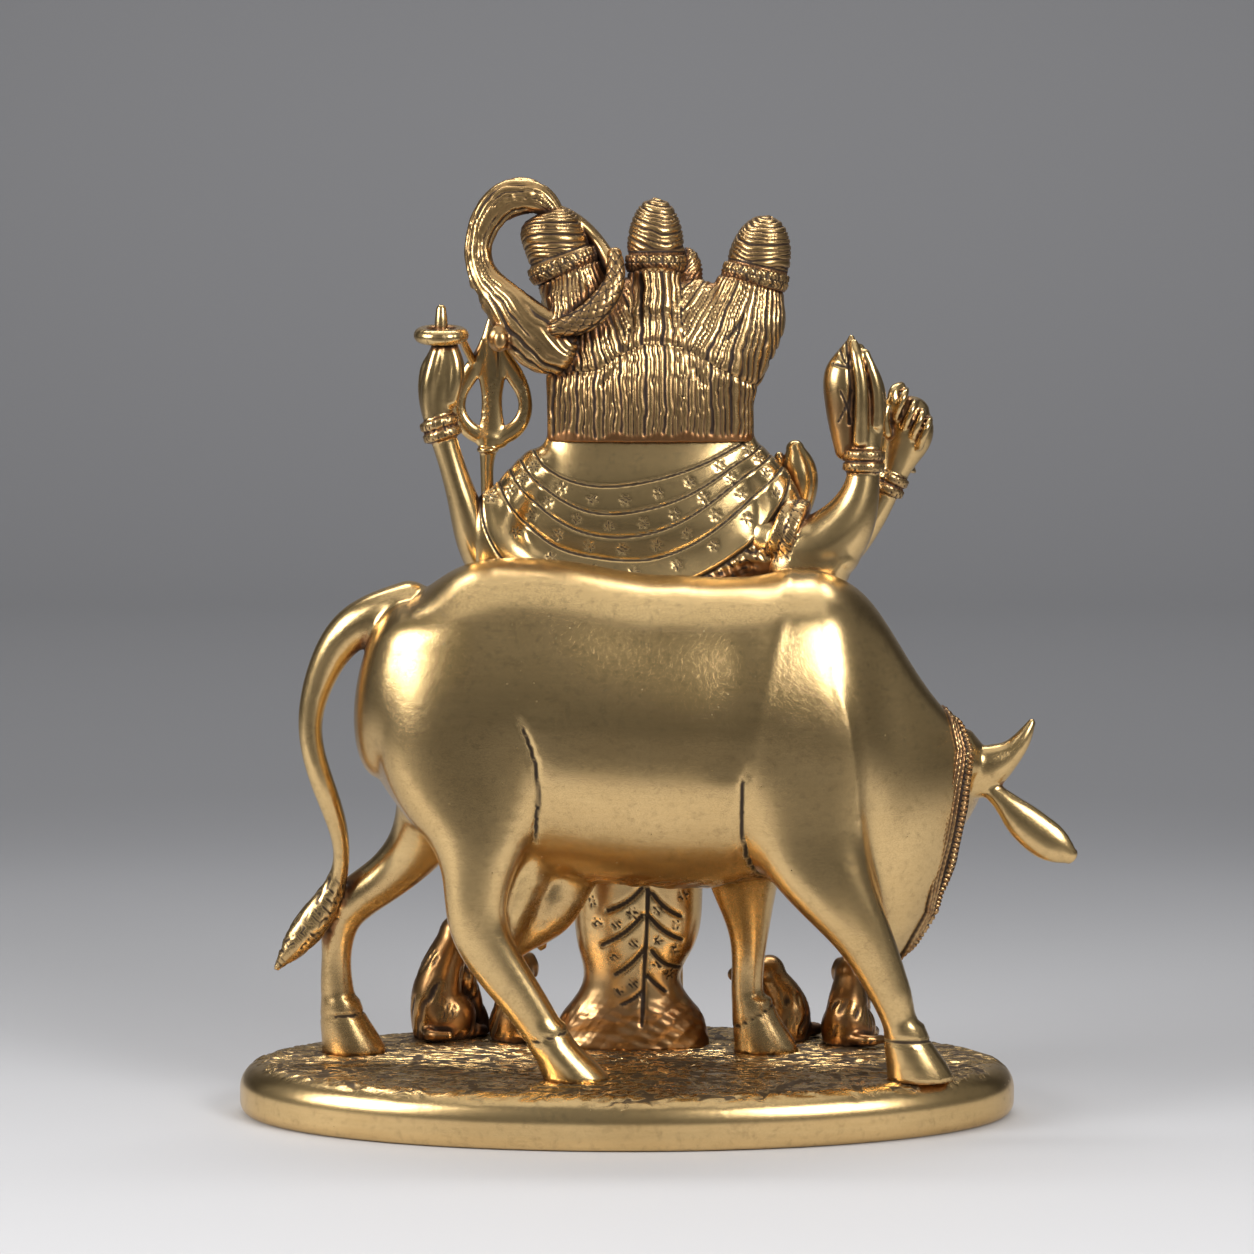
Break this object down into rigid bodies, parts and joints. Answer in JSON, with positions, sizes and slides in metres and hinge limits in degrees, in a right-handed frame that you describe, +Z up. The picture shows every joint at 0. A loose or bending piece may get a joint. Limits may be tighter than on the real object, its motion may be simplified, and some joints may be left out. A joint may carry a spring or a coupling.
{
  "type": "religious figure group",
  "caption": "Cast brass three-headed, six-armed standing deity with a grazing cow and small dogs on an oval plinth.",
  "frame": {"origin": "centre of the plinth's underside", "axes": "+X along the cow towards its head, +Y the way the figure faces, +Z up"},
  "size_m": [0.3035, 0.1518, 0.3394],
  "materials": {
    "plinth_brass": "satin antique brass, dark in the straw pattern",
    "cow_brass": "polished satin antique brass with fine scratches",
    "figure_brass": "polished satin antique brass, reddish dark patina in the carving",
    "dog_brass": "dark antique brass"
  },
  "bodies": {
    "root": {"plinth": "plinth_brass", "cow": "cow_brass", "figure": "figure_brass", "dog_tail_side_outer": "dog_brass", "dog_tail_side_inner": "dog_brass", "dog_head_side_inner": "dog_brass", "dog_head_side_outer": "dog_brass"}
  },
  "joints": []
}
